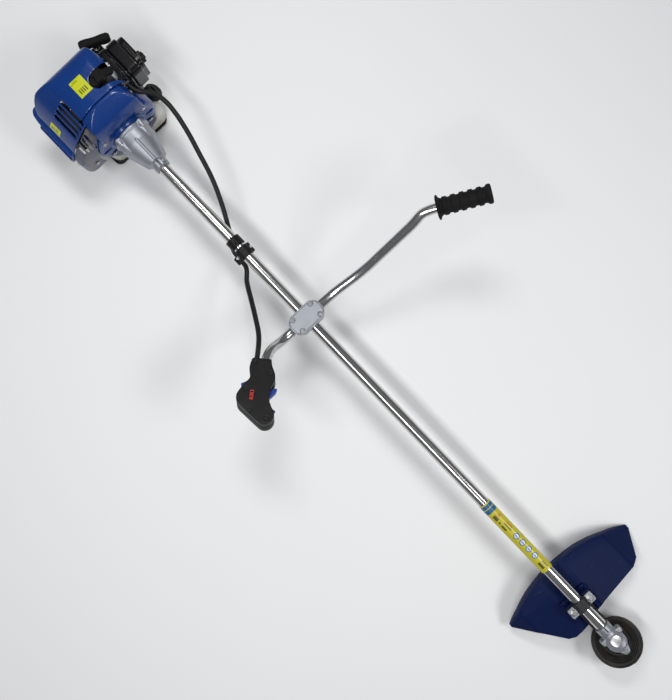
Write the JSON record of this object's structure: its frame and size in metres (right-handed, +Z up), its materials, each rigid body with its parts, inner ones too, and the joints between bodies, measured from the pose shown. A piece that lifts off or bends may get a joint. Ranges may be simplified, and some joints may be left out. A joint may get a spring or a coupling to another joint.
{
  "type": "brush cutter",
  "caption": "Petrol brush cutter: rear engine with clutch, straight shaft, two-handed handlebar with throttle handle, guard, angled gearcase and line head.",
  "frame": {"origin": "on the ground, at the middle of the engine stand's underside below the cylinder", "axes": "+X from the engine to the cutting end along the shaft, +Y to the operator's left, +Z up"},
  "size_m": [1.9019, 0.6942, 0.3241],
  "materials": {
    "blue_cover": "glossy moulded engine cover",
    "guard_plastic": "satin moulded guard",
    "blue_control": "satin moulded lever",
    "black_plastic": "fine-textured moulding",
    "black_rubber": "matt rubber",
    "red_plastic": "satin moulded switch",
    "cast_aluminium": "as cast, lightly blasted",
    "chrome": "bright tube",
    "bright_steel": "zinc-plated or machined",
    "dark_steel": "black painted pressing",
    "tank_plastic": "milky moulded tank",
    "foam": "open-cell foam",
    "sleeve_film": "printed yellow film",
    "insulator": "moulded phenolic",
    "rope": "braided cord"
  },
  "bodies": {
    "machine": {"crankcase": "cast_aluminium", "cylinder": "cast_aluminium", "recoil_spring": "bright_steel", "ignition_coil": "black_plastic", "spark_plug": "bright_steel", "plug_boot": "black_rubber", "cylinder_cover": "blue_cover", "fan_cover": "blue_cover", "starter_cover": "black_plastic", "muffler": "dark_steel", "muffler_guard": "bright_steel", "intake_insulator": "insulator", "carburettor": "cast_aluminium", "air_cleaner_base": "black_plastic", "air_filter": "foam", "air_cleaner_cover": "black_plastic", "fuel_tank": "tank_plastic", "engine_stand": "black_plastic", "clutch_case": "cast_aluminium", "shaft_tube": "chrome", "shaft_bush": "black_rubber", "shaft_sleeve": "sleeve_film", "harness_hanger": "black_plastic", "cable_clip": "black_plastic", "clamp_base": "cast_aluminium", "clamp_cap": "cast_aluminium", "handlebar": "chrome", "left_grip": "black_rubber", "throttle_housing_upper": "black_plastic", "throttle_housing_lower": "black_plastic", "throttle_cable": "black_rubber", "guard": "guard_plastic", "guard_bracket": "dark_steel", "guard_clamp": "bright_steel", "guard_bolt_right": "bright_steel", "guard_bolt_left": "bright_steel", "gearcase": "cast_aluminium"},
    "crank": {"crankshaft": "bright_steel", "starter_shaft": "bright_steel", "flywheel": "cast_aluminium", "clutch_shoes": "dark_steel"},
    "piston_and_rod": {"piston": "cast_aluminium", "connecting_rod": "bright_steel"},
    "pulley": {"recoil_pulley": "black_plastic"},
    "pull_handle": {"starter_handle": "black_plastic", "starter_rope": "rope"},
    "carb_lever": {"carb_throttle_lever": "bright_steel"},
    "choke": {"choke_lever": "black_plastic"},
    "primer": {"primer_bulb": "black_rubber"},
    "cleaner_knob": {"cover_knob": "black_plastic"},
    "tank_cap": {"fuel_cap": "black_plastic"},
    "trigger": {"throttle_trigger": "blue_control"},
    "lockout": {"lockout_lever": "blue_control"},
    "half_throttle": {"half_throttle_button": "blue_control"},
    "switch": {"stop_switch": "red_plastic"},
    "drive_line": {"clutch_drum": "bright_steel", "drive_shaft": "bright_steel"},
    "line_head": {"spindle_gear": "bright_steel", "spool_case": "black_plastic"},
    "bump": {"bump_knob": "black_plastic"}
  },
  "joints": [
    {"name": "crank_spin", "type": "hinge", "parent": "machine", "child": "crank", "pos_m": [0, 0, 0.112], "axis": [1, 0, 0], "continuous": true},
    {"name": "piston_stroke", "type": "slide", "parent": "machine", "child": "piston_and_rod", "axis": [0, 0, 1], "range_m": [-0.032, 0]},
    {"name": "head_spin", "type": "hinge", "parent": "machine", "child": "line_head", "pos_m": [1.685, 0, 0.112], "axis": [-0.4695, 0, 0.8829], "continuous": true},
    {"name": "drive_spin", "type": "hinge", "parent": "machine", "child": "drive_line", "pos_m": [0, 0, 0.112], "axis": [1, 0, 0], "continuous": true},
    {"name": "bump_press", "type": "slide", "parent": "line_head", "child": "bump", "axis": [-0.4695, 0, 0.8829], "range_m": [0, 0.008], "stiffness_N_per_m": 1500, "springref_m": -0.004},
    {"name": "starter_pull", "type": "slide", "parent": "machine", "child": "pull_handle", "axis": [-0.1203, 0.2005, 0.9723], "range_m": [0, 0.7], "stiffness_N_per_m": 15, "springref_m": -0.3},
    {"name": "pulley_spin", "type": "hinge", "parent": "machine", "child": "pulley", "pos_m": [0, 0, 0.112], "axis": [1, 0, 0], "range_deg": [0, 1680]},
    {"name": "trigger_squeeze", "type": "hinge", "parent": "machine", "child": "trigger", "pos_m": [0.73777, -0.18384, 0.25061], "axis": [-0.3296, 0.3854, 0.8619], "range_deg": [0, 12], "stiffness_Nm_per_rad": 0.6, "springref_deg": -11.46},
    {"name": "carb_throttle", "type": "hinge", "parent": "machine", "child": "carb_lever", "pos_m": [-0.009, 0.069, 0.1876], "axis": [0, 0, -1], "range_deg": [0, 60.1]},
    {"name": "lockout_squeeze", "type": "hinge", "parent": "machine", "child": "lockout", "pos_m": [0.69676, -0.17127, 0.22931], "axis": [-0.3296, 0.3854, 0.8619], "range_deg": [0, 12], "stiffness_Nm_per_rad": 0.4, "springref_deg": -11.46},
    {"name": "half_throttle_press", "type": "slide", "parent": "machine", "child": "half_throttle", "axis": [-0.9437, -0.1614, -0.2887], "range_m": [0, 0.003], "stiffness_N_per_m": 400, "springref_m": -0.003},
    {"name": "stop_switch_slide", "type": "slide", "parent": "machine", "child": "switch", "axis": [0.5601, -0.6551, 0.5071], "range_m": [-0.0045, 0.0045]},
    {"name": "choke_turn", "type": "hinge", "parent": "machine", "child": "choke", "pos_m": [0.0215, 0.0807, 0.13], "axis": [0, 1, 0], "range_deg": [0, 75]},
    {"name": "primer_press", "type": "slide", "parent": "machine", "child": "primer", "axis": [0, 0, 1], "range_m": [0, 0.004], "stiffness_N_per_m": 500, "springref_m": -0.003},
    {"name": "cover_knob_turn", "type": "hinge", "parent": "machine", "child": "cleaner_knob", "pos_m": [-0.003, 0.132, 0.16], "axis": [0, 1, 0], "range_deg": [0, 720]},
    {"name": "fuel_cap_turn", "type": "hinge", "parent": "machine", "child": "tank_cap", "pos_m": [0.035, 0.086, 0.05], "axis": [0, 0.769, 0.6392], "range_deg": [0, 540]}
  ],
  "couplings": [
    {"joint": "drive_spin", "follows": "head_spin", "ratio": 1.2667},
    {"joint": "pulley_spin", "follows": "starter_pull", "rad_per_m": 41.667},
    {"joint": "carb_throttle", "follows": "trigger_squeeze", "ratio": 5}
  ]
}
